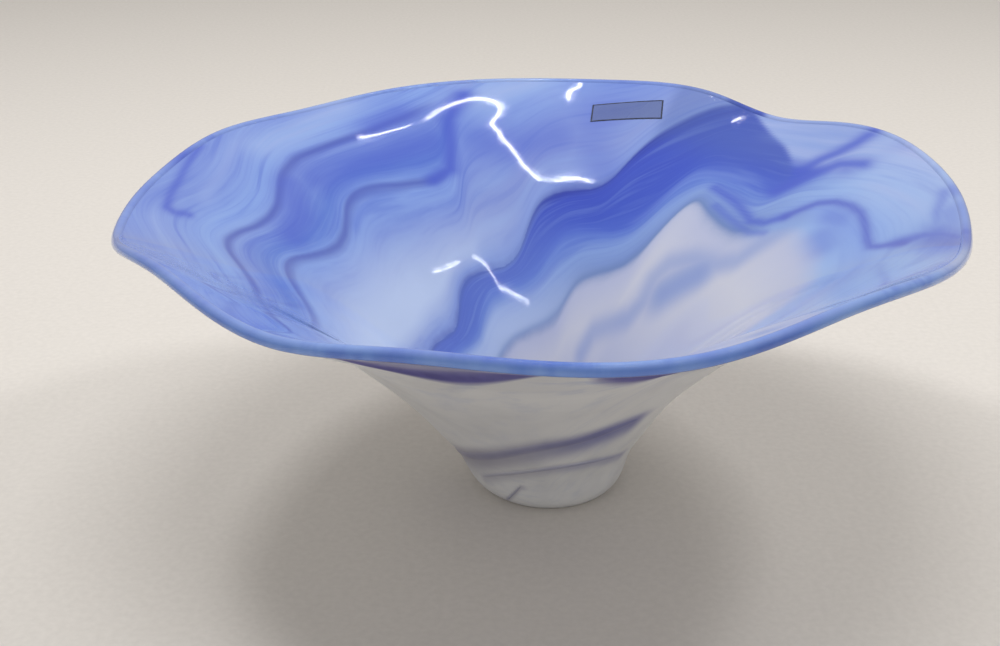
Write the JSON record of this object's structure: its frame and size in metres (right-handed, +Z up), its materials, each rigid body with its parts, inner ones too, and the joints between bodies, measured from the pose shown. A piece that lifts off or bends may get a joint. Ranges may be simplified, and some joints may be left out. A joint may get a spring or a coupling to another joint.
{
  "type": "art glass bowl",
  "caption": "Wide flared bowl with a wavy rounded rim on a narrow conical foot, white outside and streaked blue inside, for fruit or display.",
  "frame": {"origin": "centre of the foot's underside, on the table", "axes": "+Z up through the mouth; +X to the right and +Y to the back, with the label on the back of the rim"},
  "size_m": [0.3756, 0.3788, 0.1567],
  "materials": {
    "opal_glass": "glossy opal white, faint blue bloom",
    "blue_glass": "glossy, swirled cobalt, sky blue and milk white",
    "lip_glass": "fire-polished saturated blue",
    "trail_glass": "glossy smoky blue",
    "tongue_glass": "glossy navy",
    "label_film": "clear film over blue glass, blank",
    "label_ink": "thin printed line"
  },
  "bodies": {
    "root": {"outer_casing": "opal_glass", "blue_lining": "blue_glass", "lip_wrap": "lip_glass", "trail_upper": "trail_glass", "trail_lower": "trail_glass", "trail_nick": "trail_glass", "tongue_left": "tongue_glass", "tongue_right": "tongue_glass", "label_film": "label_film", "label_border": "label_ink"}
  },
  "joints": []
}
